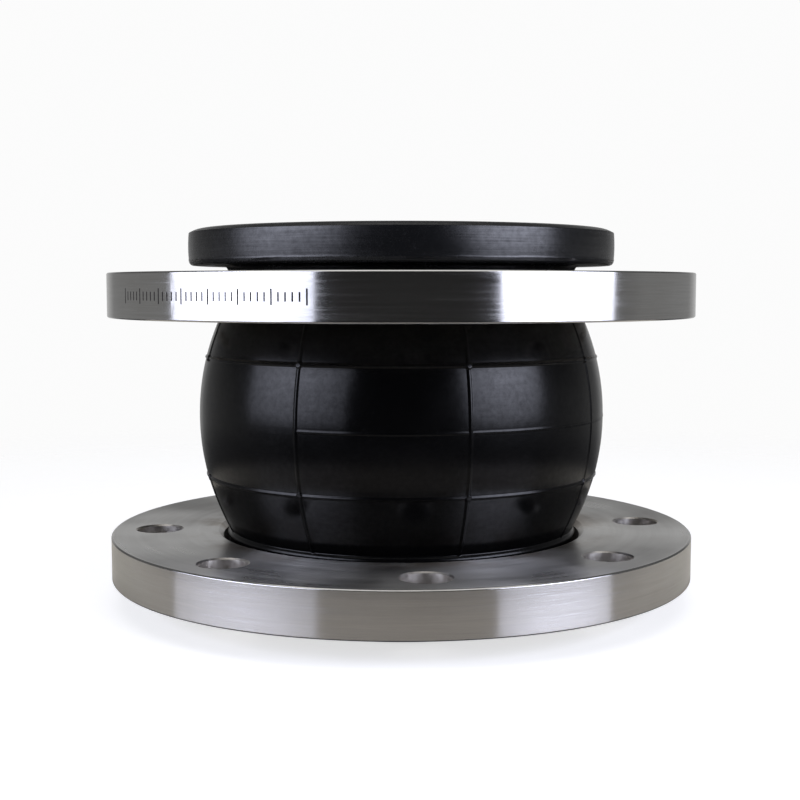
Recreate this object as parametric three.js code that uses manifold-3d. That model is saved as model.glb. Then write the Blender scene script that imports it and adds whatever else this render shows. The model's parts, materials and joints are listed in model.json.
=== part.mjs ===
// Rubber expansion joint for a DN 150, PN 16 pipe line: a single-sphere rubber bellows,
// moulded over four cord plies, with a loose steel flange behind the sealing rim at each end.
//
// Millimetres, +Z along the pipe. The origin is on the pipe axis, in the lower sealing face,
// which is also the face that the joint stands on. The lower half is drawn and turned over for
// the upper half, so "depth" below is a distance from the sealing face of the end in question.

import * as THREE from 'three';
import { mergeVertices } from 'three/addons/utils/BufferGeometryUtils.js';
import Module from 'manifold-3d';

// ---- Driving dimensions -------------------------------------------------------------------

const LENGTH = 180; // from sealing face to sealing face
const BORE_R = 75;
const WALL = 10; // all rubber and cord layers of the bellows together
const BELLY_R = 99.5; // widest radius of the sphere
const BELLY_ARC_R = 115; // radius of the sphere's outline

const RIM_R = 104;
const RIM_THICKNESS = 17.5;
const RIM_FACE = 4; // rubber over the cord at the sealing face
const RIM_BACK = 3.5; // rubber behind the bead
const RIM_SIDE = 6.4; // rubber round the outside of the bead
const RIM_ROUND = 2; // rounding of the rim's outer edges

const GAP = 0.3; // between pieces that touch
const PLY_COUNT = 4;
const PLY_THICKNESS = 0.7;
const PLY_PITCH = PLY_THICKNESS + GAP;
const COVER_THICKNESS = 3;
const TUBE_THICKNESS = WALL - COVER_THICKNESS - PLY_COUNT * PLY_PITCH - GAP;

const HOOP_WIRE = 2.5; // thickness of the bead wire
const HOOP_PITCH = HOOP_WIRE + GAP;
const HOOP_SQUARE = 2; // wires each way in a bead

const FLANGE_R = 142.5;
const FLANGE_THICKNESS = 21;
const FLANGE_BORE_R = 88.5;
const RECESS_R = 105; // seat of the sealing rim
const RECESS_DEPTH = 5.8;
const BORE_CHAMFER = 2.5;
const EDGE_CHAMFER = 0.8;
const BOLT_COUNT = 8;
const BOLT_HOLE_R = 11;
const BOLT_CIRCLE_R = 120;
const BOLT_PHASE = THREE.MathUtils.degToRad(-85.1); // of the first hole, from +X
const UPPER_FLANGE_DROP = 9.1; // the loose upper flange has sunk onto the sphere's shoulder

const RUBBER_SIDES = 32; // facets round every moulded layer and hoop
const FLANGE_SIDES = 64;
const HOLE_SIDES = 16;
const WIRE_SIDES = 5;
const BELLY_STEPS = 6; // chords along the sphere's outline

// ---- Materials ----------------------------------------------------------------------------

const rubberMaterial = () => new THREE.MeshStandardMaterial({ color: 0x17181a, roughness: 0.45, metalness: 0 });
const cordMaterial = () => new THREE.MeshStandardMaterial({ color: 0xb9a77c, roughness: 0.85, metalness: 0 });
const fillerMaterial = () => new THREE.MeshStandardMaterial({ color: 0x2b2a28, roughness: 0.6, metalness: 0 });
const wireMaterial = () => new THREE.MeshStandardMaterial({ color: 0xb98a5a, roughness: 0.35, metalness: 1 });
const flangeMaterial = () => new THREE.MeshStandardMaterial({ color: 0xa9a8a4, roughness: 0.3, metalness: 1 });

// ---- Building blocks ----------------------------------------------------------------------

const wasm = await Module();
wasm.setup();

const group = new THREE.Group();

function addPiece(name, geometry, material) {
  const mesh = new THREE.Mesh(geometry, material);
  mesh.name = name;
  group.add(mesh);
}

// Turns a closed outline of [radius, height] points about Z. The outline is made to run
// counter-clockwise, so that the faces point out.
function revolve(points, sides) {
  const outline = points.map(([radius, height]) => new THREE.Vector2(radius, height));
  if (THREE.ShapeUtils.area(outline) < 0) {
    outline.reverse();
  }
  outline.push(outline[0].clone());
  const geometry = new THREE.LatheGeometry(outline, sides);
  geometry.rotateX(Math.PI / 2);
  return geometry;
}

// Turns an outline over, from the lower end to the upper one.
const turnOver = (points) => points.map(([radius, height]) => [radius, LENGTH - height]);

// Points of an arc from one angle to another, both ends included.
function arc(centreR, centreZ, radius, from, to, steps) {
  return Array.from({ length: steps + 1 }, (_, i) => {
    const angle = from + ((to - from) * i) / steps;
    return [centreR + radius * Math.cos(angle), centreZ + radius * Math.sin(angle)];
  });
}

function toSolid(geometry) {
  const bare = geometry.clone();
  bare.deleteAttribute('normal');
  bare.deleteAttribute('uv');
  const merged = mergeVertices(bare);
  return new wasm.Manifold(
    new wasm.Mesh({
      numProp: 3,
      vertProperties: new Float32Array(merged.attributes.position.array),
      triVerts: new Uint32Array(merged.index.array),
    }),
  );
}

function toGeometry(solid) {
  const mesh = solid.getMesh();
  const geometry = new THREE.BufferGeometry();
  geometry.setAttribute('position', new THREE.BufferAttribute(mesh.vertProperties, 3));
  geometry.setIndex(new THREE.BufferAttribute(mesh.triVerts, 1));
  return geometry;
}

// ---- Layers of the bellows ----------------------------------------------------------------

// One side of a layer: the line that lies `inside` millimetres outside the bore, from the lower
// neck over the sphere to the upper neck. All the lines are offsets of each other.
function bellowsLine(inside) {
  const centreR = BELLY_R - BELLY_ARC_R;
  const neckR = BORE_R + inside;
  const radius = BELLY_ARC_R - WALL + inside;
  const reach = Math.acos((neckR - centreR) / radius);
  return arc(centreR, LENGTH / 2, radius, -reach, reach, BELLY_STEPS);
}

// A layer between two lines, with its own end points at both necks.
// `inner` and `outer` each hold the line's place in the wall and its points below the lower neck.
function layer(inner, outer) {
  const side = ({ inside, ends }) => [...ends, ...bellowsLine(inside), ...turnOver(ends).reverse()];
  return revolve([...side(outer), ...side(inner).reverse()], RUBBER_SIDES);
}

function addInnerTube() {
  const end = RIM_FACE + GAP;
  addPiece(
    'inner_tube',
    layer({ inside: 0, ends: [[BORE_R, end]] }, { inside: TUBE_THICKNESS, ends: [[BORE_R + TUBE_THICKNESS, end]] }),
    rubberMaterial(),
  );
}

// Each ply is turned outwards at both ends, over the bead, and stops short of the rim's side.
function addCordPlies() {
  const turnedEdge = RIM_R - RIM_SIDE - GAP;
  for (let i = 0; i < PLY_COUNT; i += 1) {
    const inside = TUBE_THICKNESS + GAP + i * PLY_PITCH;
    const depth = RIM_FACE + GAP + i * PLY_PITCH;
    const side = (across) => ({
      inside: inside + across,
      ends: [
        [turnedEdge, depth + across],
        [BORE_R + inside + across, depth + across],
      ],
    });
    addPiece(`cord_ply_${i + 1}`, layer(side(0), side(PLY_THICKNESS)), cordMaterial());
  }
}

function addOuterCover() {
  const end = RIM_THICKNESS + GAP;
  const inside = WALL - COVER_THICKNESS;
  addPiece(
    'outer_cover',
    layer({ inside, ends: [[BORE_R + inside, end]] }, { inside: WALL, ends: [[BORE_R + WALL, end]] }),
    rubberMaterial(),
  );
}

// ---- Sealing rims and what they hold -------------------------------------------------------

const PLY_STACK_END = RIM_FACE + PLY_COUNT * PLY_PITCH; // depth of the last turned-out ply
const BEAD_INNER_R = BORE_R + WALL - COVER_THICKNESS;
const BEAD_OUTER_R = RIM_R - RIM_SIDE;
const BEAD_END = RIM_THICKNESS - RIM_BACK;

// The rubber that shows at each end: the sealing face, the side and the back, round a channel
// for the bead that is open towards the neck.
function rimOutline() {
  return [
    [BORE_R, 0],
    ...arc(RIM_R - RIM_ROUND, RIM_ROUND, RIM_ROUND, -Math.PI / 2, 0, 2),
    ...arc(RIM_R - RIM_ROUND, RIM_THICKNESS - RIM_ROUND, RIM_ROUND, 0, Math.PI / 2, 2),
    [BEAD_INNER_R, RIM_THICKNESS],
    [BEAD_INNER_R, BEAD_END],
    [BEAD_OUTER_R, BEAD_END],
    [BEAD_OUTER_R, RIM_FACE],
    [BORE_R, RIM_FACE],
  ];
}

const HOOP_OUTER_R = BEAD_OUTER_R - GAP - HOOP_WIRE / 2;
const HOOP_INNER_R = HOOP_OUTER_R - (HOOP_SQUARE - 1) * HOOP_PITCH;
const HOOP_MIDDLE = (PLY_STACK_END + BEAD_END) / 2;

// Rubber wedge between the cord plies and the wires of the bead.
function fillerOutline() {
  const near = BEAD_INNER_R + GAP / 2;
  const far = HOOP_INNER_R - HOOP_WIRE / 2 - GAP;
  const top = PLY_STACK_END + GAP;
  const bottom = BEAD_END - GAP;
  const slope = (bottom - top) / 2;
  return [
    [near, top],
    [far, top],
    [far, bottom],
    [near + slope, bottom],
    [near, bottom - slope],
  ];
}

// Centres of the wires of one bead, as [radius, depth].
function hoopCentres() {
  const centres = [];
  for (let row = 0; row < HOOP_SQUARE; row += 1) {
    for (let column = 0; column < HOOP_SQUARE; column += 1) {
      centres.push([HOOP_INNER_R + column * HOOP_PITCH, HOOP_MIDDLE + (row - 0.5) * HOOP_PITCH]);
    }
  }
  return centres;
}

const wireOutline = ([radius, depth]) =>
  arc(radius, depth, HOOP_WIRE / 2, 0, (2 * Math.PI * (WIRE_SIDES - 1)) / WIRE_SIDES, WIRE_SIDES - 1);

function addEnd(end, place) {
  addPiece(`${end}_sealing_rim`, revolve(place(rimOutline()), RUBBER_SIDES), rubberMaterial());
  addPiece(`${end}_bead_filler`, revolve(place(fillerOutline()), RUBBER_SIDES), fillerMaterial());
  hoopCentres().forEach((centre, i) => {
    addPiece(`${end}_bead_wire_${i + 1}`, revolve(place(wireOutline(centre)), RUBBER_SIDES), wireMaterial());
  });
}

// ---- Flanges ------------------------------------------------------------------------------

// Outline of a flange: height 0 is its outer face, with the recess that the rim seats in.
function flangeOutline() {
  return [
    [FLANGE_BORE_R, RECESS_DEPTH],
    [RECESS_R, RECESS_DEPTH],
    [RECESS_R, 0],
    [FLANGE_R - EDGE_CHAMFER, 0],
    [FLANGE_R, EDGE_CHAMFER],
    [FLANGE_R, FLANGE_THICKNESS - EDGE_CHAMFER],
    [FLANGE_R - EDGE_CHAMFER, FLANGE_THICKNESS],
    [FLANGE_BORE_R + BORE_CHAMFER, FLANGE_THICKNESS],
    [FLANGE_BORE_R, FLANGE_THICKNESS - BORE_CHAMFER],
  ];
}

const RIM_PROUD = RIM_THICKNESS + GAP - RECESS_DEPTH; // of the outer face of a seated flange

const lowerPlace = (points) => points.map(([radius, height]) => [radius, height + RIM_PROUD]);
const upperPlace = (points) =>
  turnOver(points.map(([radius, height]) => [radius, height + RIM_PROUD + UPPER_FLANGE_DROP]));

function addFlange(name, place) {
  const cutterLength = LENGTH * 2;
  let solid = toSolid(revolve(place(flangeOutline()), FLANGE_SIDES));
  for (let i = 0; i < BOLT_COUNT; i += 1) {
    const angle = BOLT_PHASE + (i * 2 * Math.PI) / BOLT_COUNT;
    const cutter = new THREE.CylinderGeometry(BOLT_HOLE_R, BOLT_HOLE_R, cutterLength, HOLE_SIDES);
    cutter.rotateX(Math.PI / 2);
    cutter.translate(BOLT_CIRCLE_R * Math.cos(angle), BOLT_CIRCLE_R * Math.sin(angle), 0);
    solid = solid.subtract(toSolid(cutter));
  }
  addPiece(name, toGeometry(solid), flangeMaterial());
}

// ---- Assembly -----------------------------------------------------------------------------

addInnerTube();
addCordPlies();
addOuterCover();
addEnd('lower', (points) => points);
addEnd('upper', turnOver);
addFlange('lower_flange', lowerPlace);
addFlange('upper_flange', upperPlace);

export default group;
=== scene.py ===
"""Looks of a rubber expansion joint: a ribbed black rubber sphere with a thick sealing rim at
each end, and a loose turned stainless steel flange behind each rim.

Metres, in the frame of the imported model: +Z along the pipe, -Y towards the camera.
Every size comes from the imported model's own solids; what they don't hold, such as the mould's
ribs and the machining marks, is named below.
"""

import json
import math

import bmesh
import bpy
from mathutils import Matrix, Vector


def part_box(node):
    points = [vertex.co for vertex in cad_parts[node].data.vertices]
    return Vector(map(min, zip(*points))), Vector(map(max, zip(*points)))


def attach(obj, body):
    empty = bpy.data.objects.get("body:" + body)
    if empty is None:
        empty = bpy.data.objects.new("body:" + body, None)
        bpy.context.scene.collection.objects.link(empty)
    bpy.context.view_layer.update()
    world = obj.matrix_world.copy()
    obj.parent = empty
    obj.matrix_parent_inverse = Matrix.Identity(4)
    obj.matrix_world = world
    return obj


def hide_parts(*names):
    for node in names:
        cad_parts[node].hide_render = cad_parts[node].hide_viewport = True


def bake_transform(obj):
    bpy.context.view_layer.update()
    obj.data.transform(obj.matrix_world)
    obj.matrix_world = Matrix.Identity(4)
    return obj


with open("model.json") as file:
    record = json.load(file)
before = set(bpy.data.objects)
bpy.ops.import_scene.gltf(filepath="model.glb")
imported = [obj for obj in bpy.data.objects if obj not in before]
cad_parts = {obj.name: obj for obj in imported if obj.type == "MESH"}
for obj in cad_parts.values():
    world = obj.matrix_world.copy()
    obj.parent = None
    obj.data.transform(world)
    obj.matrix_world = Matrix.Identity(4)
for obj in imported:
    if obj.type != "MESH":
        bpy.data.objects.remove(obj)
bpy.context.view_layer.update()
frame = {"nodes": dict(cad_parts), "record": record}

MM = 0.001
SAME = 0.02 * MM  # lengths closer than this are the same
FRONT = -math.pi / 2  # the direction of -Y, as an angle from +X


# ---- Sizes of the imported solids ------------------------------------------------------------

def rings(node):
    """(radius, height) of every ring of vertices of a turned solid."""
    found = {(round(math.hypot(v.co.x, v.co.y), 5), round(v.co.z, 5))
             for v in frame["nodes"][node].data.vertices}
    return sorted(found)


def least_radius(node):
    return rings(node)[0][0]


def radii_at(node, height):
    """Least and greatest radius of a turned solid's rings at a height."""
    radii = [r for r, z in rings(node) if abs(z - height) < SAME]
    return min(radii), max(radii)


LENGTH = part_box("upper_sealing_rim")[1].z
MIDDLE = LENGTH / 2
RIM_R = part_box("upper_sealing_rim")[1].x
RIM_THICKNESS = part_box("lower_sealing_rim")[1].z
BORE_R = least_radius("inner_tube")
BELLY_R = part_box("outer_cover")[1].x
COVER_INSIDE_R = least_radius("outer_cover")
COVER_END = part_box("outer_cover")[0].z
NECK_R = radii_at("outer_cover", COVER_END)[1]
WALL = NECK_R - BORE_R
FLANGE_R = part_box("lower_flange")[1].x

# The sphere's outline is an arc through the widest point and the two ends of the necks.
ARC_START = [z for r, z in rings("outer_cover") if abs(r - NECK_R) < SAME][1]
SAG = BELLY_R - NECK_R
ARC_R = (SAG ** 2 + (MIDDLE - ARC_START) ** 2) / (2 * SAG)
ARC_CENTRE_R = BELLY_R - ARC_R

# A fillet joins the arc to each neck; its centre lies outside the rubber.
ROOT_FILLET = 5 * MM
FILLET_R = NECK_R + ROOT_FILLET
FILLET_DZ = math.sqrt((ARC_R + ROOT_FILLET) ** 2 - (FILLET_R - ARC_CENTRE_R) ** 2)
FILLET_SLOPE = FILLET_DZ / (ARC_R + ROOT_FILLET)

# The mould's ribs: rings round the sphere and meridians over it.
MIDDLE_RING_HEIGHT = 0.16 * MM
MIDDLE_RING_HALF_WIDTH = 0.8 * MM
OUTER_RING_HEIGHT = 0.62 * MM
OUTER_RING_HALF_WIDTH = 1.0 * MM
MERIDIAN_HEIGHT = 0.44 * MM
MERIDIAN_HALF_WIDTH = 1.1 * MM
RIDGE_POWER = 1.25
PIP_HEIGHT = 0.9 * MM  # vent pips where the outer rings cross the meridians
PIP_RADIUS = 1.6 * MM
RING_SPACING = 28.7 * MM
BEAD_DZ = 57.8 * MM  # the roll of rubber round each foot of the sphere
BEAD_HEIGHT = 1.4 * MM
BEAD_HALF_WIDTH = 2.1 * MM
MERIDIANS = 8
FIRST_MERIDIAN = FRONT + math.radians(-27.5)
MERIDIAN_STEP = 2 * math.pi / MERIDIANS
BLANK_PANEL = FIRST_MERIDIAN - MERIDIAN_STEP  # middle of the panel with no ribs, two fields wide
LINE_WAVES = 0.12 * MM
FADE_HALF = 0.004  # half of the angle in which a rib fades out at the blank panel

# Where the wall is split between the bodies that it joins.
LOWER_SEAM = MIDDLE - RING_SPACING
UPPER_SEAM = MIDDLE + RING_SPACING
BEND_START = 33 * MM  # heights listed with the zones, clear of the bores of the flanges; nothing in this script bends the wall between them
BEND_END = 142 * MM

TURN_SIDES = 192  # facets round a smooth turned piece
ROW_STEP = 3 * MM  # between the rows of points of the wall, away from its ribs
COLUMN_STEP = math.radians(2.5)


# ---- Mesh building --------------------------------------------------------------------------

def smooth_step(low, high, value):
    t = min(1.0, max(0.0, (value - low) / (high - low)))
    return t * t * (3 - 2 * t)


def link(name, mesh, material):
    piece = bpy.data.objects.new(name, mesh)
    bpy.context.scene.collection.objects.link(piece)
    piece.data.materials.append(material)
    return piece


def evenly(count):
    return [2 * math.pi * i / count for i in range(count)]


def turned(name, outline, corners, material, angles=None):
    """A closed ring: outline(angle) gives a closed outline of (radius, height) points.
    corners are the numbers of the outline points where the surface has a sharp edge."""
    angles = angles or evenly(TURN_SIDES)
    rows = [outline(a) for a in angles]
    sides, steps = len(angles), len(rows[0])
    verts = [(r * math.cos(a), r * math.sin(a), z)
             for a, row in zip(angles, rows) for r, z in row]
    area = sum(rows[0][i - 1][0] * rows[0][i][1] - rows[0][i][0] * rows[0][i - 1][1]
               for i in range(steps))
    faces = []
    for i in range(sides):
        j = (i + 1) % sides
        for k in range(steps):
            m = (k + 1) % steps
            face = (i * steps + k, j * steps + k, j * steps + m, i * steps + m)
            faces.append(face if area > 0 else face[::-1])
    mesh = bpy.data.meshes.new(name)
    mesh.from_pydata(verts, [], faces)
    mesh.shade_smooth()
    sharp = mesh.attributes.new("sharp_edge", "BOOLEAN", "EDGE")
    turning = {k % steps for k in corners}
    for edge in mesh.edges:
        a, b = edge.vertices
        if a % steps == b % steps and a % steps in turning:
            sharp.data[edge.index].value = True
    return link(name, mesh, material)


def arc(centre_r, centre_z, radius, start, end, steps):
    """Points of an arc in (radius, height), angles in degrees, both ends included."""
    points = []
    for i in range(steps + 1):
        a = math.radians(start + (end - start) * i / steps)
        points.append((centre_r + radius * math.cos(a), centre_z + radius * math.sin(a)))
    return points


def turned_over(points):
    return [(r, LENGTH - z) for r, z in points]


# ---- Materials --------------------------------------------------------------------------------

class Shader:
    """A short way to write a node material."""

    def __init__(self, name):
        self.material = bpy.data.materials.new(name)
        self.material.use_nodes = True
        self.tree = self.material.node_tree
        self.surface = self.tree.nodes["Principled BSDF"]
        self.place = self.add("ShaderNodeTexCoord").outputs["Object"]

    def add(self, kind, **settings):
        node = self.tree.nodes.new(kind)
        for key, value in settings.items():
            setattr(node, key, value)
        return node

    def link(self, source, target):
        self.tree.links.new(source, target)

    def put(self, target, value):
        """Sets an input to a number, or links it to another node's output."""
        if isinstance(value, bpy.types.NodeSocket):
            self.link(value, target)
        else:
            target.default_value = value

    def math(self, operation, a, b=0.0, c=0.0):
        node = self.add("ShaderNodeMath", operation=operation)
        for target, value in zip(node.inputs, (a, b, c)):
            self.put(target, value)
        return node.outputs[0]

    def noise(self, vector, scale, detail=3.0, roughness=0.5):
        node = self.add("ShaderNodeTexNoise")
        self.link(vector, node.inputs["Vector"])
        node.inputs["Scale"].default_value = scale
        node.inputs["Detail"].default_value = detail
        node.inputs["Roughness"].default_value = roughness
        return node.outputs["Fac"]

    def spread(self, value, low, high, to_low, to_high):
        """Maps a range of a value to another range, and holds it there."""
        node = self.add("ShaderNodeMapRange")
        for target, x in zip(node.inputs, (value, low, high, to_low, to_high)):
            self.put(target, x)
        return node.outputs[0]

    def mix(self, share, a, b):
        node = self.add("ShaderNodeMix", data_type="RGBA")
        self.put(node.inputs["Factor"], share)
        self.put(node.inputs[6], a)
        self.put(node.inputs[7], b)
        return node.outputs[2]

    def from_axis(self):
        """Outputs with x, y, z and the distance from the axis."""
        split = self.add("ShaderNodeSeparateXYZ")
        self.link(self.place, split.inputs[0])
        x, y, z = split.outputs
        square = self.math("ADD", self.math("MULTIPLY", x, x), self.math("MULTIPLY", y, y))
        return x, y, z, self.math("SQRT", square)

    def round_lines(self, angular):
        """Coordinates in which a noise makes lines round the axis: on a face they change with the
        radius, on a turned side with the height, and along a line as fast as angular says."""
        x, y, z, radius = self.from_axis()
        around = [self.math("MULTIPLY", self.math("DIVIDE", side, radius), angular) for side in (x, y)]
        joined = self.add("ShaderNodeCombineXYZ")
        for target, value in zip(joined.inputs, (*around, self.math("ADD", radius, z))):
            self.link(value, target)
        return joined.outputs[0]

    def bump(self, height, distance, strength=1.0, below=None):
        node = self.add("ShaderNodeBump")
        node.inputs["Strength"].default_value = strength
        node.inputs["Distance"].default_value = distance
        self.link(height, node.inputs["Height"])
        if below is not None:
            self.link(below, node.inputs["Normal"])
        return node.outputs[0]

    def finish(self, **inputs):
        for name, value in inputs.items():
            self.put(self.surface.inputs[name.replace("_", " ")], value)
        return self.material


# Each rubber's own colour, and that of its dull patches.
TUBE_GREY = (0.012, 0.012, 0.012), (0.03, 0.029, 0.027)
FILLER_BROWN = (0.016, 0.015, 0.014), (0.03, 0.028, 0.026)
COVER_BLACK = (0.0014, 0.0014, 0.0015), (0.003, 0.0029, 0.0028)
RIM_BLACK = (0.0045, 0.0047, 0.0051), (0.009, 0.009, 0.0095)


def rubber(name, base, dust, gloss, index=1.5, streaks=0.08):
    """Moulded black rubber: fine skin texture, faint turning marks of the mould and dull patches."""
    s = Shader(name)
    marks = s.noise(s.round_lines(0.002), 1400.0, 2.0)
    skin = s.noise(s.place, 900.0, 4.0, 0.6)
    peel = s.noise(s.place, 160.0, 2.0)
    patches = s.noise(s.place, 22.0, 4.0, 0.6)
    mottle = s.noise(s.place, 430.0, 3.0, 0.6)
    specks = s.spread(s.noise(s.place, 420.0, 2.0), 0.68, 0.76, 0.0, 1.0)
    colour = s.mix(s.spread(patches, 0.45, 0.8, 0.0, 0.6), (*base, 1), (*dust, 1))
    colour = s.mix(s.math("MULTIPLY", specks, 0.3), colour, (*(3 * c for c in dust), 1))
    roughness = s.math("ADD", s.spread(patches, 0.3, 0.7, gloss - 0.02, gloss + 0.05),
                       s.spread(skin, 0.3, 0.7, -0.02, 0.02))
    normal = s.bump(peel, 0.06 * MM, 0.45)
    normal = s.bump(skin, 0.015 * MM, 0.3, normal)
    normal = s.bump(marks, 0.012 * MM, 2.2 * streaks, normal)
    level = s.math("ADD", s.spread(marks, 0.35, 0.65, 0.5 - streaks, 0.5 + streaks),
                   s.spread(patches, 0.35, 0.65, -0.04, 0.04))
    level = s.math("ADD", level, s.spread(mottle, 0.3, 0.7, -0.1, 0.1))
    return s.finish(Base_Color=colour, Roughness=roughness, Normal=normal, IOR=index,
                    Specular_IOR_Level=level)


RIM_FINISH = FLANGE_R - 1.2 * MM, FLANGE_R - 0.6 * MM  # radii where the rim's finish sets in
BORE_STAIN_AND_SHADE = 93 * MM, 110 * MM  # radii where the brown ring round the bore fades out: partly a rubber stain, partly painted shade of the sphere above
CLEAN_STEEL = (0.64, 0.635, 0.625, 1)
STAINED_STEEL = (0.50, 0.485, 0.46, 1)
STREAKED_STEEL = (0.78, 0.78, 0.77, 1)
GROOVED_STEEL = (0.40, 0.395, 0.385, 1)
# The brown of the ring round the bore: partly a rubber stain, partly painted shade.
BORE_STAIN_AND_SHADE_STEEL = (0.32, 0.275, 0.23, 1)


def turned_steel():
    """Stainless steel off the lathe: fine circular marks, some coarser ones, and handling stains.
    The rim has the finer finish."""
    s = Shader("turned_stainless_steel")
    radius = s.from_axis()[3]
    on_rim = s.spread(radius, *RIM_FINISH, 0.0, 1.0)
    grooves = s.noise(s.round_lines(0.0015), 2600.0, 3.0, 0.65)
    streaks = s.noise(s.round_lines(0.0035), 900.0, 4.0, 0.7)
    bands = s.noise(s.round_lines(0.004), 380.0, 3.0)
    stains = s.noise(s.place, 16.0, 5.0, 0.6)
    clouds = s.noise(s.place, 26.0, 2.0, 0.4)
    colour = s.mix(s.spread(stains, 0.42, 0.75, 0.0, 0.7), CLEAN_STEEL, STAINED_STEEL)
    bright_lines = s.math("MULTIPLY", s.spread(streaks, 0.35, 0.7, 0.0, 0.45),
                          s.spread(on_rim, 0.0, 1.0, 0.3, 1.0))
    colour = s.mix(bright_lines, colour, STREAKED_STEEL)
    dark_lines = s.spread(grooves, 0.35, 0.65, s.spread(on_rim, 0.0, 1.0, 0.0, 0.25), 0.0)
    colour = s.mix(dark_lines, colour, GROOVED_STEEL)
    # Painted shade: the face turns brown and darker in a ring round the bore, under the sphere; partly a
    # rubber stain, partly painted shade of the sphere.
    bore_stain_and_shade = s.math("MULTIPLY", s.spread(radius, *BORE_STAIN_AND_SHADE, 1.0, 0.0),
                    s.spread(s.noise(s.place, 38.0, 4.0, 0.6), 0.4, 0.6, 0.0, 0.9))
    colour = s.mix(bore_stain_and_shade, colour, BORE_STAIN_AND_SHADE_STEEL)
    fine = s.math("ADD", s.spread(bands, 0.3, 0.7, 0.13, 0.18), s.spread(streaks, 0.5, 0.75, 0.0, 0.1))
    coarse = s.math("ADD", s.spread(bands, 0.3, 0.7, 0.25, 0.31), s.spread(clouds, 0.35, 0.7, 0.0, 0.14))
    roughness = s.spread(on_rim, 0.0, 1.0, coarse, fine)
    normal = s.bump(s.math("MULTIPLY", grooves, on_rim), 0.002 * MM, 0.25)
    round_z = s.add("ShaderNodeTangent", direction_type="RADIAL", axis="Z")
    s.link(round_z.outputs[0], s.surface.inputs["Tangent"])
    return s.finish(Base_Color=colour, Roughness=roughness, Normal=normal, Metallic=1.0,
                    Anisotropic=0.85, Anisotropic_Rotation=0.25)


def drilled_steel():
    """The walls of the bolt holes: duller and warmer than the turned faces."""
    s = Shader("drilled_steel")
    score = s.noise(s.place, 450.0, 3.0)
    colour = s.mix(score, (0.52, 0.49, 0.45, 1), (0.78, 0.75, 0.7, 1))
    return s.finish(Base_Color=colour, Roughness=s.spread(score, 0.3, 0.7, 0.3, 0.42), Metallic=1.0,
                    Normal=s.bump(score, 0.02 * MM, 0.4))


def etched_steel():
    """Dark oxide in the etched marks on a flange's edge."""
    s = Shader("etched_mark")
    grain = s.noise(s.place, 1500.0, 3.0)
    colour = s.mix(grain, (0.008, 0.007, 0.007, 1), (0.03, 0.025, 0.024, 1))
    return s.finish(Base_Color=colour, Roughness=0.8, Specular_IOR_Level=0.2)


def cord_fabric():
    """Rubberised tyre cord: parallel twisted cords with a film of rubber between them."""
    s = Shader("rubberised_cord")
    wave = s.add("ShaderNodeTexWave", bands_direction="DIAGONAL")
    s.link(s.round_lines(0.09), wave.inputs["Vector"])
    wave.inputs["Scale"].default_value = 260.0
    fibre = s.noise(s.place, 1800.0, 3.0)
    colour = s.mix(wave.outputs["Fac"], (0.05, 0.045, 0.04, 1), (0.55, 0.47, 0.31, 1))
    colour = s.mix(s.math("MULTIPLY", fibre, 0.4), colour, (0.25, 0.21, 0.14, 1))
    return s.finish(Base_Color=colour, Roughness=0.8,
                    Normal=s.bump(wave.outputs["Fac"], 0.2 * MM, 0.8))


def bronzed_wire():
    """Bead wire: drawn steel with a thin bronze coating."""
    s = Shader("bronze_coated_wire")
    drawn = s.noise(s.round_lines(0.002), 3000.0, 2.0)
    tint = s.noise(s.place, 60.0, 3.0)
    colour = s.mix(tint, (0.66, 0.42, 0.22, 1), (0.78, 0.56, 0.34, 1))
    return s.finish(Base_Color=colour, Roughness=s.spread(drawn, 0.3, 0.7, 0.22, 0.4), Metallic=1.0,
                    Normal=s.bump(drawn, 0.02 * MM, 0.5))


MATERIALS = {
    "cover": rubber("cover_rubber", *COVER_BLACK, gloss=0.18, index=1.295, streaks=0.02),
    "rim": rubber("rim_rubber", *RIM_BLACK, gloss=0.25, index=1.44, streaks=0.1),
    "tube": rubber("tube_rubber", *TUBE_GREY, gloss=0.46),
    "filler": rubber("filler_rubber", *FILLER_BROWN, gloss=0.6),
    "steel": turned_steel(),
    "drilled": drilled_steel(),
    "etched": etched_steel(),
    "cord": cord_fabric(),
    "wire": bronzed_wire(),
}


# ---- The wall of the bellows ---------------------------------------------------------------------

def wall_radius(depth, z):
    """Radius at a height of the surface that lies depth outside the bore."""
    dz = abs(z - MIDDLE)
    arc_r = ARC_R - WALL + depth
    if dz <= arc_r * FILLET_SLOPE:
        return ARC_CENTRE_R + math.sqrt(arc_r ** 2 - dz ** 2)
    if dz < FILLET_DZ:
        return FILLET_R - math.sqrt((ROOT_FILLET + WALL - depth) ** 2 - (FILLET_DZ - dz) ** 2)
    return BORE_R + depth


def rib(distance, height, half_width, power=2):
    """Height of a rib at a distance from its middle: a parabola in section, or with a lower power
    a sharper ridge."""
    return height * max(0.0, 1 - abs(distance / half_width) ** power)


def wobble(angle, size):
    """Small waves of a line cut into the mould by hand; they close on themselves."""
    return size * (math.sin(5 * angle + 0.7) + 0.6 * math.sin(11 * angle + 2.1)
                   + 0.5 * math.sin(23 * angle + 4.0)) / 2


def between(angle, middle, half):
    """1 well inside an arc of the circle, 0 well outside."""
    off = abs((angle - middle + math.pi) % (2 * math.pi) - math.pi)
    return 1 - smooth_step(half - FADE_HALF, half + FADE_HALF, off)


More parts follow.
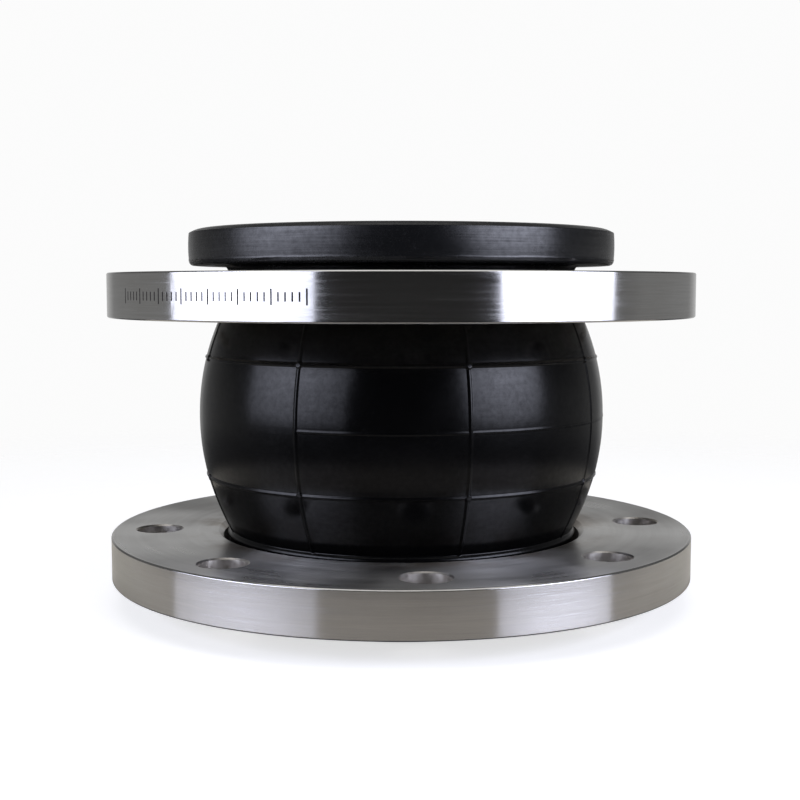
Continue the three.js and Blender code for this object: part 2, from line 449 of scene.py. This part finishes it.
def ribs_at(angle, z):
    """How far the mould's ribs stand out of the cover."""
    dz = abs(z - MIDDLE)
    nearest = round((angle - FIRST_MERIDIAN) / MERIDIAN_STEP)
    off = (angle - FIRST_MERIDIAN - nearest * MERIDIAN_STEP) * wall_radius(WALL, z)
    meridian = rib(off, MERIDIAN_HEIGHT, MERIDIAN_HALF_WIDTH, RIDGE_POWER) if dz < BEAD_DZ else 0.0
    if dz < RING_SPACING:
        meridian *= 1 - between(angle, BLANK_PANEL, MERIDIAN_STEP / 2)
    shift = wobble(angle, LINE_WAVES)
    middle_ring = rib(z - MIDDLE - shift, MIDDLE_RING_HEIGHT, MIDDLE_RING_HALF_WIDTH, RIDGE_POWER)
    middle_ring *= 1 - between(angle, BLANK_PANEL, MERIDIAN_STEP)
    outer_ring = rib(dz - RING_SPACING, OUTER_RING_HEIGHT, OUTER_RING_HALF_WIDTH, RIDGE_POWER)
    bead = rib(dz - BEAD_DZ, BEAD_HEIGHT, BEAD_HALF_WIDTH)
    from_pip = math.hypot(off, dz - RING_SPACING)
    pip = PIP_HEIGHT * math.sqrt(max(0.0, 1 - (from_pip / PIP_RADIUS) ** 6))
    return max(meridian, middle_ring, outer_ring, bead, pip)


def refined(low, high, step, lines):
    """Values from low to high about a step apart, with closer ones around each line. A line is its
    place and the offsets of its closer values."""
    close = [place + o for place, offsets in lines for o in offsets]
    values = [v for v in close if low < v < high]
    count = round((high - low) / step)
    for i in range(1, count):
        v = low + (high - low) * i / count
        if all(abs(v - place) > max(offsets) + step / 3 for place, offsets in lines):
            values.append(v)
    return sorted({round(v, 7) for v in values + [low, high]})


RIB_OFFSETS = [k * MERIDIAN_HALF_WIDTH / 5 for k in range(-8, 9)]
BEAD_OFFSETS = [k * BEAD_HALF_WIDTH / 7 for k in range(-8, 9)]
RING_LINES = [
    *((MIDDLE + dz, RIB_OFFSETS) for dz in (-RING_SPACING, 0, RING_SPACING)),
    *((MIDDLE + dz, BEAD_OFFSETS) for dz in (-BEAD_DZ, BEAD_DZ)),
]


def cover_angles():
    """Angles of the cover's columns, close together across each meridian rib."""
    offsets = [o / BELLY_R for o in RIB_OFFSETS]
    meridians = [(FIRST_MERIDIAN + k * MERIDIAN_STEP, offsets) for k in range(MERIDIANS)]
    start = FIRST_MERIDIAN - MERIDIAN_STEP / 2
    return refined(start, start + 2 * math.pi, COLUMN_STEP, meridians)[:-1]


def layer_zone(name, node, low, high, material, ribbed=False):
    """One height zone of a layer of the wall, between the layer's inner and outer surfaces."""
    inside = least_radius(node) - BORE_R
    belly_inner, belly_outer = radii_at(node, MIDDLE)
    outside = inside + belly_outer - belly_inner
    rows = refined(low, high, ROW_STEP, RING_LINES if ribbed else [])

    def outline(angle):
        outer = [(wall_radius(outside, z) + (ribs_at(angle, z) if ribbed else 0), z) for z in rows]
        inner = [(wall_radius(inside, z), z) for z in reversed(rows)]
        return outer + inner

    ends = [0, len(rows) - 1, len(rows), 2 * len(rows) - 1]
    return turned(name, outline, ends, material, cover_angles() if ribbed else None)


ZONES = (
    ("lower", "lower_end", "belly_lower", BEND_START, LOWER_SEAM),
    ("middle", "belly_lower", "belly_upper", LOWER_SEAM, UPPER_SEAM),
    ("upper", "belly_upper", "upper_end", UPPER_SEAM, BEND_END),
)


def wall_layer(node, material, zone_maker):
    """A layer of the wall in three zones, split at the seams; the bodies and heights listed for each
    zone are not used here.
    """
    low, high = (corner.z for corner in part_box(node))
    edges = [low, LOWER_SEAM, UPPER_SEAM, high]
    for (zone, body, other, start, end), bottom, top in zip(ZONES, edges, edges[1:]):
        piece = zone_maker(f"{node}_{zone}", node, bottom, top, material)
        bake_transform(piece)
        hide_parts(node)


def ribbed_zone(name, node, low, high, material):
    return layer_zone(name, node, low, high, material, ribbed=True)


PLY_CORNER = 2 * MM  # radius of the corner where a ply turns outwards


def ply_zone(name, node, low, high, material):
    """A zone of a cord ply; its end zones are turned outwards over the bead."""
    if low == LOWER_SEAM:
        return layer_zone(name, node, low, high, material)
    upper = high > MIDDLE
    inside = least_radius(node) - BORE_R
    belly_inner, belly_outer = radii_at(node, MIDDLE)
    thickness = belly_outer - belly_inner
    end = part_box(node)[0].z
    edge_r = radii_at(node, end)[1]
    rows = refined(end + 2 * PLY_CORNER, LOWER_SEAM, ROW_STEP, [])

    def side(across):
        """The turned edge, a rounded corner and the wall, from the end to the seam."""
        corner_r = BORE_R + inside + across
        bend = PLY_CORNER - across
        top = end + across
        corner = arc(corner_r + bend, top + bend, bend, -90, -180, 6)
        wall = [(wall_radius(inside + across, z), z) for z in rows]
        return [(edge_r, top), *corner, *wall]

    def outline(_):
        points = side(0) + side(thickness)[::-1]
        return turned_over(points) if upper else points

    count = len(side(0))
    return turned(name, outline, [0, count - 1, count, 2 * count - 1], material)


# ---- The ends ------------------------------------------------------------------------------------

RIM_SIDES = 384
LIP_DROP = 1.8 * MM  # how far the face falls away towards its outer edge
LIP_WIDTH = 6.0 * MM
LIP_EDGE = 0.35 * MM
HEEL = 2.2 * MM
RIM_CROWN = 0.3 * MM
FLASH = 0.14 * MM  # height of the mould's flash line
FLASH_AT = RIM_THICKNESS - HEEL - 0.3 * MM
FLASH_HALF_WIDTH = 0.55 * MM
FLASH_TOP = 0.1 * MM  # half of the flat top of the line
LIP_TURN = -58  # degrees at which the round of the lip's edge begins
SIDE_STEPS = 28
LIP_STEPS = 8
ROOT_ROUND = 2.6 * MM
NECK_CLEARANCE = 0.08 * MM
NECK_POINTS = 3  # of the rim's outline between its root fillet and its channel, the fillet's end too
MOUTH_ROUND = 1 * MM  # at the edge of the bore
WIRE_CORNERS = 5  # of the coarse solid that stands for a round wire
WIRE_SIDES = 16


def channel_section():
    """Corners of the hollow in the rim that holds the plies and the bead, and of its mouth."""
    section = rings("lower_sealing_rim")
    face = [z for r, z in section if r < BORE_R + SAME][-1]
    channel = [(r, z) for r, z in section if r > NECK_R and z > face - SAME]
    side_r = min(r for r, z in channel)
    back = max(z for r, z in channel if abs(r - side_r) < SAME)
    return [(COVER_INSIDE_R, RIM_THICKNESS), (COVER_INSIDE_R, back), (side_r, back),
            (side_r, face), (BORE_R, face)]


CHANNEL = channel_section()
RIM_EDGE_R = RIM_R - RIM_CROWN
RIM_SIDE = LIP_DROP + LIP_EDGE, RIM_THICKNESS - HEEL  # heights between which the side stands


def rim_lip():
    """The outer part of the sealing face, which falls away towards its edge."""
    ts = [i / LIP_STEPS for i in range(LIP_STEPS + 1)]
    return [(RIM_EDGE_R - LIP_EDGE - LIP_WIDTH * (1 - t), LIP_DROP * t * t) for t in ts]


def rim_side(angle):
    """The slightly crowned side with the mould's ragged flash line, its points closer together
    towards the line."""
    ragged = math.sin(53 * angle) * math.sin(31 * angle + 1.0) + 0.6 * math.sin(83 * angle + 2.0)
    flash_at = FLASH_AT + wobble(angle, 0.2 * MM) + 0.1 * MM * ragged
    flash = FLASH * (1 + 0.4 * ragged)
    low, high = RIM_SIDE
    side = []
    for i in range(SIDE_STEPS + 1):
        z = low + (high - low) * (1 - (1 - i / SIDE_STEPS) ** 1.6)
        across = 2 * (z - low) / (high - low) - 1
        line = flash * (1 - smooth_step(FLASH_TOP, FLASH_HALF_WIDTH, abs(z - flash_at)))
        side.append((min(RIM_R, RIM_EDGE_R + RIM_CROWN * (1 - across ** 2) + line), z))
    return side


def rim_outline(angle):
    """The lower rim's section: the face and its lip, the side, the rounded heel, a root fillet
    against the neck, and the channel."""
    neck_r = NECK_R + NECK_CLEARANCE
    points = [
        *arc(BORE_R + MOUTH_ROUND, MOUTH_ROUND, MOUTH_ROUND, 180, 270, 5),
        *rim_lip(),
        *arc(RIM_EDGE_R - LIP_EDGE, RIM_SIDE[0], LIP_EDGE, LIP_TURN, 0, 3)[:-1],
        *rim_side(angle),
        *arc(RIM_EDGE_R - HEEL, RIM_SIDE[1], HEEL, 0, 90, 8)[1:],
        *arc(neck_r + ROOT_ROUND, RIM_THICKNESS + ROOT_ROUND, ROOT_ROUND, -90, -180, 6),
        (neck_r, RIM_THICKNESS + ROOT_ROUND + 0.4 * MM),
        (neck_r, RIM_THICKNESS),
    ]
    return points + CHANNEL


def simple_outline(node):
    """A turned solid's own section, in order round its middle."""
    points = rings(node)
    mid_r = sum(r for r, _ in points) / len(points)
    mid_z = sum(z for _, z in points) / len(points)
    return sorted(points, key=lambda p: math.atan2(p[1] - mid_z, p[0] - mid_r))


def wire_outline(node):
    """A round wire about the middle of its coarse solid."""
    points = rings(node)
    low_z, high_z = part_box(node)[0].z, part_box(node)[1].z
    radius = (high_z - low_z) / (2 * math.sin(2 * math.pi / WIRE_CORNERS))
    centre_r = max(r for r, _ in points) - radius
    last = 360 * (1 - 1 / WIRE_SIDES)
    return arc(centre_r, (low_z + high_z) / 2, radius, 0, last, WIRE_SIDES - 1)


def add_end(end):
    body = f"{end}_end"
    upper = end == "upper"
    count = len(rim_outline(0))
    sharp = range(count - len(CHANNEL) - NECK_POINTS, count)
    rim = turned(f"{end}_rim", lambda a: turned_over(rim_outline(a)) if upper else rim_outline(a),
                 sharp, MATERIALS["rim"], evenly(RIM_SIDES))
    wedge_section = simple_outline(f"{end}_bead_filler")
    wedge = turned(f"{end}_filler", lambda _: wedge_section, range(len(wedge_section)),
                   MATERIALS["filler"])
    made = [(rim, f"{end}_sealing_rim", "black_rubber"),
            (wedge, f"{end}_bead_filler", "filler_rubber")]
    for node in sorted(n for n in frame["nodes"] if n.startswith(f"{end}_bead_wire")):
        section_of_wire = wire_outline(node)
        hoop = turned(node.replace("bead_wire", "hoop"), lambda _: section_of_wire, [],
                      MATERIALS["wire"])
        made.append((hoop, node, "bead_wire"))
    for piece, node, slot in made:
        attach(piece, body)
        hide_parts(node)


# ---- Flanges -------------------------------------------------------------------------------------

EDGE_CHAMFER = 0.55 * MM
EDGE_SOFTNESS = 0.15 * MM
HOLE_CHAMFER = 0.7 * MM
HOLE_SIDES = 64
FLANGE_SIDES = 256
FLAT_ANGLE = math.radians(24)  # faces that meet at more than this have a sharp edge
TICKS = 36
TICKS_FROM, TICKS_TO = math.radians(-58), math.radians(-15)  # from the front
TICK_HALF_WIDTH = 0.38 * MM
TICK_DEPTH = 0.1 * MM
SHORT_TICK, TALL_TICK = 1.9 * MM, 3.3 * MM  # half of their heights
TALL_EVERY = 5


def hole_places(node):
    """The middles of the bolt holes, from the record's openings."""
    end = node.split("_")[0]
    boxes = [o["box_m"] for o in frame["record"]["physics"]["openings"]
             if o["name"].startswith(f"{end}_bolt_hole")]
    return [Vector(((low[0] + high[0]) / 2, (low[1] + high[1]) / 2, 0)) for low, high in boxes]


def hole_radius(node, centre):
    """Radius of a bolt hole: the flange's corner nearest to the hole's centre lies on its wall."""
    return min(math.hypot(v.co.x - centre.x, v.co.y - centre.y)
               for v in frame["nodes"][node].data.vertices)


def cut(piece, cutter):
    """Cuts one mesh out of another and drops the cutter."""
    modifier = piece.modifiers.new("cut", "BOOLEAN")
    modifier.operation = "DIFFERENCE"
    modifier.solver = "EXACT"
    modifier.material_mode = "TRANSFER"
    modifier.object = cutter
    evaluated = piece.evaluated_get(bpy.context.evaluated_depsgraph_get())
    mesh = bpy.data.meshes.new_from_object(evaluated)
    piece.modifiers.clear()
    piece.data = mesh
    bpy.data.objects.remove(cutter)


def hole_cutter(node, centres, low, high, material):
    """One mesh of all the bolt holes, each a waisted cylinder that chamfers both mouths."""
    radius = hole_radius(node, centres[0])
    reach = 2 * MM
    wide = radius + HOLE_CHAMFER + reach
    section = [(wide, low - reach), (radius, low + HOLE_CHAMFER),
               (radius, high - HOLE_CHAMFER), (wide, high + reach)]
    built = bmesh.new()
    for centre in centres:
        loops = [[built.verts.new((centre.x + r * math.cos(a), centre.y + r * math.sin(a), z))
                  for a in evenly(HOLE_SIDES)] for r, z in section]
        built.faces.new(loops[0][::-1])
        built.faces.new(loops[-1])
        for lower, upper in zip(loops, loops[1:]):
            for i in range(HOLE_SIDES):
                j = (i + 1) % HOLE_SIDES
                built.faces.new((lower[i], lower[j], upper[j], upper[i]))
    mesh = bpy.data.meshes.new("holes")
    built.to_mesh(mesh)
    built.free()
    return link("hole_cutter", mesh, material)


def tick_cutter(radius, middle_z, material):
    """A plain row of short etched strokes on the edge of the flange, like the marks of a scale."""
    built = bmesh.new()
    for k in range(TICKS):
        angle = FRONT + TICKS_FROM + (TICKS_TO - TICKS_FROM) * k / (TICKS - 1)
        half_height = SHORT_TICK if k % TALL_EVERY else TALL_TICK
        matrix = (Matrix.Translation((radius * math.cos(angle), radius * math.sin(angle), middle_z))
                  @ Matrix.Rotation(angle, 4, "Z")
                  @ Matrix.Diagonal((2 * TICK_DEPTH, 2 * TICK_HALF_WIDTH, 2 * half_height, 1)))
        bmesh.ops.create_cube(built, size=1.0, matrix=matrix)
    mesh = bpy.data.meshes.new("ticks")
    built.to_mesh(mesh)
    built.free()
    return link("tick_cutter", mesh, material)


def softened(points, size):
    """An outline with each corner cut into a small round, and a point on each side of the round
    that keeps the shading of the flat faces flat."""
    out = []
    for i, (r, z) in enumerate(points):
        sides = []
        for other in (points[i - 1], points[(i + 1) % len(points)]):
            share = min(size / math.hypot(other[0] - r, other[1] - z), 0.2)
            sides.append([(r + (other[0] - r) * s, z + (other[1] - z) * s) for s in (share, 2 * share)])
        (start, before), (end, after) = sides
        out.append(before)
        for t in (0, 0.33, 0.67, 1):
            keep = (1 - t) ** 2, 2 * t * (1 - t), t ** 2
            out.append(tuple(keep[0] * a + keep[1] * b + keep[2] * c
                             for a, b, c in zip(start, (r, z), end)))
        out.append(after)
    return out


def flange_outline(node):
    """The flange's section, read from its coarse solid: recess, seat, bore and bore chamfer."""
    low, high = (corner.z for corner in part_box(node))
    outer_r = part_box(node)[1].x
    bore_r = least_radius(node)
    bore_zs = [z for r, z in rings(node) if abs(r - bore_r) < SAME]
    seat, chamfer_start = min(bore_zs), max(bore_zs)
    lower = node.startswith("lower")
    out_face, back_face = (low, high) if lower else (high, low)
    if not lower:
        seat, chamfer_start = chamfer_start, seat
    recess_r = radii_at(node, out_face)[0]
    chamfer_r = radii_at(node, back_face)[0]
    sign = 1 if lower else -1
    return [
        (bore_r, seat),
        (recess_r, seat),
        (recess_r, out_face),
        (outer_r - EDGE_CHAMFER, out_face),
        (outer_r, out_face + sign * EDGE_CHAMFER),
        (outer_r, back_face - sign * EDGE_CHAMFER),
        (outer_r - EDGE_CHAMFER, back_face),
        (chamfer_r, back_face),
        (bore_r, chamfer_start),
    ]


def add_flange(end):
    node = f"{end}_flange"
    low, high = (corner.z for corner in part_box(node))
    outline = softened(flange_outline(node), EDGE_SOFTNESS)
    flange = turned(f"{end}_steel_flange", lambda _: outline, [], MATERIALS["steel"],
                    evenly(FLANGE_SIDES))
    if end == "upper":
        outer_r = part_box(node)[1].x
        cut(flange, tick_cutter(outer_r, (low + high) / 2, MATERIALS["etched"]))
    cut(flange, hole_cutter(node, hole_places(node), low, high, MATERIALS["drilled"]))
    flange.data.shade_smooth()
    flange.data.set_sharp_from_angle(angle=FLAT_ANGLE)
    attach(flange, node)
    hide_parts(node)


# ---- Stage -----------------------------------------------------------------------------------------

CAMERA_DISTANCE = 0.6494
CAMERA_HEIGHT = 0.1524
CAMERA_PITCH = math.radians(4.96)
CAMERA_LENS = 58.76
CAMERA_SHIFT = -0.0016
SENSOR_WIDTH = 36

# How far above a softbox's middle it is brightest, and how far from there it is dimmest.
GLOW_RISE = 0.2
GLOW_REACH = 0.6
COOL = (0.80, 0.83, 1.0)
WARM = (1.0, 0.99, 0.97)
SOFTBOX_DISTANCE = 1.0
SOFTBOX_HEIGHT = 0.33
SOFTBOX_TALL = 0.6

# Brightness of the room by direction. Each is two limits on an axis, and the values at them.
ROOM_BY_DEPTH = (-0.6, 0.2), (0.025, 0.24)
ROOM_BY_HEIGHT = (0.0, 0.22), (1.0, 0.45)
BACK_BY_DEPTH = (0.8, 1.0), (0.0, 0.38)
BACK_BY_HEIGHT = (0.28, 0.5), (1.0, 0.0)
BACKDROP = (0.97, 0.97, 0.97, 1)
FLOOR_R = 0.9
FLOOR_Z = -0.05 * MM
FLOOR_FADE = 0.28, 0.8  # radii between which the floor fades into the backdrop
TABLE_EDGE = 0.265, 0.31  # radii between which the reflected table top ends
TABLE_SHADE = 0.15, 0.165  # radii between which the dark under the object ends
FRONT_SHADE_DEPTH = -0.15, 0.02  # between these places on Y the table top grows lighter, out of painted shade on the camera's side
# the table top at the camera's side, darkened as painted shade
TABLE_FRONT_IN_SHADE = (0.46, 0.42, 0.345, 1)
TABLE_BACK = (0.81, 0.76, 0.64, 1)
SHADED_TABLE = (0.1, 0.1, 0.1, 1)
TABLE_GLOSS = 0.08
FLOOR_GLOW = 0.66  # what the camera sees of the floor beyond the light that falls on it


def add_camera():
    camera = bpy.data.objects.new("camera", bpy.data.cameras.new("camera"))
    bpy.context.scene.collection.objects.link(camera)
    camera.location = (0, -CAMERA_DISTANCE, CAMERA_HEIGHT)
    camera.rotation_euler = (math.pi / 2 - CAMERA_PITCH, 0, 0)
    camera.data.lens = CAMERA_LENS
    camera.data.sensor_width = SENSOR_WIDTH
    camera.data.shift_x = CAMERA_SHIFT
    camera.data.clip_start = 0.01
    bpy.context.scene.camera = camera


def add_glow(light, hot_spot, brightest, dimmest):
    """Makes a light brightest at one point of its face and dimmer away from it."""
    light.use_nodes = True
    nodes, links = light.node_tree.nodes, light.node_tree.links
    place = nodes.new("ShaderNodeNewGeometry")
    gap = nodes.new("ShaderNodeVectorMath")
    gap.operation = "DISTANCE"
    gap.inputs[1].default_value = hot_spot
    fall = nodes.new("ShaderNodeMapRange")
    for target, value in zip(fall.inputs[1:5], (0.0, GLOW_REACH, brightest, dimmest)):
        target.default_value = value
    links.new(place.outputs["Position"], gap.inputs[0])
    links.new(gap.outputs["Value"], fall.inputs[0])
    links.new(fall.outputs[0], nodes["Emission"].inputs["Strength"])


def add_softbox(name, azimuth, distance, height, width, tall, power, colour, glow=None):
    """A rectangular light that faces the middle of the object. Azimuth 0 is on the -Y side, and
    90 on the +X side, in degrees. glow is its strength at the top of its middle and far from there."""
    light = bpy.data.lights.new(name, "AREA")
    light.shape = "RECTANGLE"
    light.size = width
    light.size_y = tall
    light.energy = power
    light.color = colour
    lamp = bpy.data.objects.new(name, light)
    lamp.visible_camera = False
    bpy.context.scene.collection.objects.link(lamp)
    angle = FRONT + math.radians(azimuth)
    lamp.location = (distance * math.cos(angle), distance * math.sin(angle), height)
    target = Vector((0, 0, MIDDLE))
    lamp.rotation_euler = (target - lamp.location).to_track_quat("-Z", "Y").to_euler()
    if glow:
        add_glow(light, lamp.location + Vector((0, 0, GLOW_RISE)), *glow)


def add_side_softbox(name, azimuth, width, power, glow):
    add_softbox(name, azimuth, SOFTBOX_DISTANCE, SOFTBOX_HEIGHT, width, SOFTBOX_TALL, power, COOL, glow)


def add_lights():
    add_side_softbox("left_softbox", azimuth=-59, width=1.18, power=9.2, glow=(1.9, 0.55))
    add_side_softbox("right_softbox", azimuth=56.7, width=0.88, power=8.0, glow=(2.4, 0.45))
    add_softbox("top_softbox", azimuth=0, distance=0.02, height=1.5, width=1.8, tall=1.8,
                power=9, colour=WARM)


def stepped(tree, source, limits, values):
    """Goes from the first value to the second between two limits of source, and holds them."""
    step = tree.nodes.new("ShaderNodeMapRange")
    for target, value in zip(step.inputs[1:5], (*limits, *values)):
        target.default_value = value
    tree.links.new(source, step.inputs[0])
    return step.outputs[0]


def combined(tree, operation, a, b):
    node = tree.nodes.new("ShaderNodeMath")
    node.operation = operation
    tree.links.new(a, node.inputs[0])
    tree.links.new(b, node.inputs[1])
    return node.outputs[0]


def studio_light(tree):
    """Brightness by direction: dark on the camera's side, grey at the sides, lighter behind."""
    place = tree.nodes.new("ShaderNodeTexCoord")
    split = tree.nodes.new("ShaderNodeSeparateXYZ")
    tree.links.new(place.outputs["Generated"], split.inputs[0])
    _, to_back, upwards = split.outputs
    room = combined(tree, "MULTIPLY", stepped(tree, to_back, *ROOM_BY_DEPTH),
                    stepped(tree, upwards, *ROOM_BY_HEIGHT))
    back = combined(tree, "MULTIPLY", stepped(tree, to_back, *BACK_BY_DEPTH),
                    stepped(tree, upwards, *BACK_BY_HEIGHT))
    return combined(tree, "ADD", room, back)


def add_world():
    """The studio round the object. The camera itself sees an even pale backdrop."""
    world = bpy.data.worlds.new("studio")
    bpy.context.scene.world = world
    world.use_nodes = True
    tree = world.node_tree
    tree.nodes.clear()
    out = tree.nodes.new("ShaderNodeOutputWorld")
    seen = tree.nodes.new("ShaderNodeBackground")
    seen.inputs["Color"].default_value = BACKDROP
    lit = tree.nodes.new("ShaderNodeBackground")
    path = tree.nodes.new("ShaderNodeLightPath")
    mix = tree.nodes.new("ShaderNodeMixShader")
    tree.links.new(studio_light(tree), lit.inputs["Color"])
    tree.links.new(path.outputs["Is Camera Ray"], mix.inputs[0])
    tree.links.new(lit.outputs[0], mix.inputs[1])
    tree.links.new(seen.outputs[0], mix.inputs[2])
    tree.links.new(mix.outputs[0], out.inputs[0])


def floor_material():
    """A pale floor that fades into the backdrop with distance from the object. Seen in the gloss of
    the object it is a darker, polished table top with painted shade towards the camera's side and under
    the object, which mirrors the softboxes in turn."""
    s = Shader("pale_floor")
    path = s.add("ShaderNodeLightPath")
    in_gloss, by_camera = path.outputs["Is Glossy Ray"], path.outputs["Is Camera Ray"]
    _, y, _, radius = s.from_axis()
    fade = s.spread(radius, *FLOOR_FADE, 1.0, 0.0)
    near = s.spread(radius, *TABLE_EDGE, 1.0, 0.0)
    grain = s.noise(s.place, 40.0)
    colour = s.mix(grain, (0.62, 0.62, 0.62, 1), (0.64, 0.64, 0.64, 1))
    # Painted shade on the mirrored table top: darker towards the camera's side, and dark under the
    # object.
    table = s.mix(s.spread(y, *FRONT_SHADE_DEPTH, 0.0, 1.0), TABLE_FRONT_IN_SHADE, TABLE_BACK)
    lit_top = s.math("MULTIPLY", near, s.spread(radius, *TABLE_SHADE, 0.0, 1.0))
    mirrored = s.mix(lit_top, SHADED_TABLE, table)
    polish = s.math("MULTIPLY", near, in_gloss)
    return s.finish(Base_Color=s.mix(in_gloss, colour, mirrored), Alpha=fade,
                    Roughness=s.spread(in_gloss, 0.0, 1.0, 0.7, 0.12),
                    Specular_IOR_Level=s.math("MULTIPLY", polish, TABLE_GLOSS),
                    Specular_Tint=(1.0, 0.93, 0.74, 1), Emission_Color=(1.0, 1.0, 1.0, 1),
                    Emission_Strength=s.math("MULTIPLY", by_camera, FLOOR_GLOW))


def add_floor():
    angles = evenly(96)
    mesh = bpy.data.meshes.new("floor")
    mesh.from_pydata([(FLOOR_R * math.cos(a), FLOOR_R * math.sin(a), FLOOR_Z) for a in angles],
                     [], [list(range(len(angles)))])
    floor = link("floor", mesh, floor_material())


# ---- Putting it together ---------------------------------------------------------------------------

bpy.context.scene.view_settings.view_transform = "Standard"
add_camera()
add_world()
add_lights()
add_floor()
wall_layer("inner_tube", MATERIALS["tube"], layer_zone)
for ply in sorted(n for n in frame["nodes"] if n.startswith("cord_ply")):
    wall_layer(ply, MATERIALS["cord"], ply_zone)
wall_layer("outer_cover", MATERIALS["cover"], ribbed_zone)
for which_end in ("lower", "upper"):
    add_end(which_end)
    add_flange(which_end)
